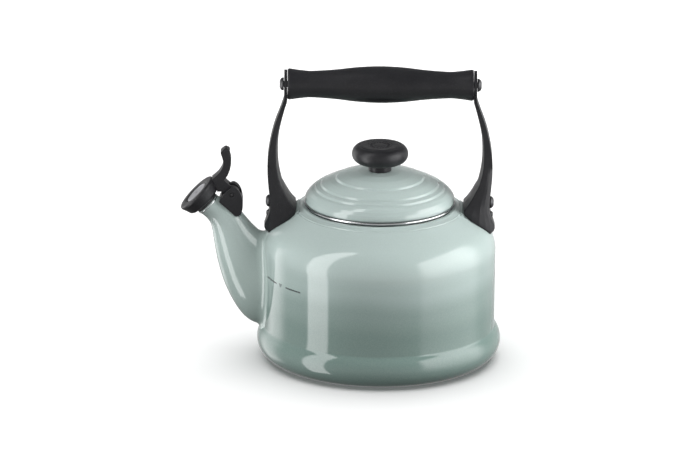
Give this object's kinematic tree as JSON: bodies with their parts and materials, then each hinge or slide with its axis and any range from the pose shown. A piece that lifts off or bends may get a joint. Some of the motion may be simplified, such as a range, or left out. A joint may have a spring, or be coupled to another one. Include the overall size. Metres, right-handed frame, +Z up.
{
  "type": "stovetop whistling kettle",
  "caption": "Round enamelled kettle for a stove: squat body, fixed bail handle, lift-off domed lid, upturned side spout closed by a sprung whistle with a thumb lever.",
  "frame": {"origin": "centre of the flat base, on the body's axis", "axes": "+Z up along the body's axis, -X towards the spout, +Y completes the right hand; the handle's grip runs along X"},
  "size_m": [0.2562, 0.1948, 0.241],
  "materials": {
    "enamel": "glossy vitreous enamel, grey green, faint mottling",
    "phenolic": "moulded phenolic resin, black, fine grain, satin",
    "stainless": "bright stainless steel",
    "base_steel": "satin stainless steel with turned rings",
    "black_steel": "blackened steel fastener",
    "brass": "plain turned brass",
    "silicone": "matt moulded silicone"
  },
  "bodies": {
    "kettle": {"body_shell": "enamel", "base_pan": "base_steel", "spout": "enamel", "spout_tab": "enamel", "spout_side_lug": "enamel", "spout_side_arm": "phenolic", "spout_side_arm_screw": "black_steel", "spout_side_arm_pin": "black_steel", "spout_side_grip_screw": "black_steel", "spout_side_grip_insert": "brass", "rear_side_lug": "enamel", "rear_side_arm": "phenolic", "rear_side_arm_screw": "black_steel", "rear_side_arm_pin": "black_steel", "rear_side_grip_screw": "black_steel", "rear_side_grip_insert": "brass", "grip": "phenolic", "whistle_bracket": "phenolic", "hinge_pin": "stainless", "hinge_spring": "stainless"},
    "lid": {"lid_shell": "enamel", "lid_rim": "stainless", "lid_collar": "stainless", "knob": "phenolic", "knob_neck": "phenolic", "knob_screw": "stainless", "knob_washer": "stainless"},
    "whistle": {"whistle_cap": "phenolic", "whistle_lever": "phenolic", "whistle_plate_outer": "stainless", "whistle_plate_inner": "stainless", "whistle_seal": "silicone"}
  },
  "joints": [
    {"name": "lid_lift", "type": "slide", "parent": "kettle", "child": "lid", "axis": [0, 0, 1], "range_m": [0, 0.028]},
    {"name": "whistle_flip", "type": "hinge", "parent": "kettle", "child": "whistle", "pos_m": [-0.1182, 0, 0.1361], "axis": [0, 1, 0], "range_deg": [0, 42], "stiffness_Nm_per_rad": 0.05, "springref_deg": -20.05}
  ]
}
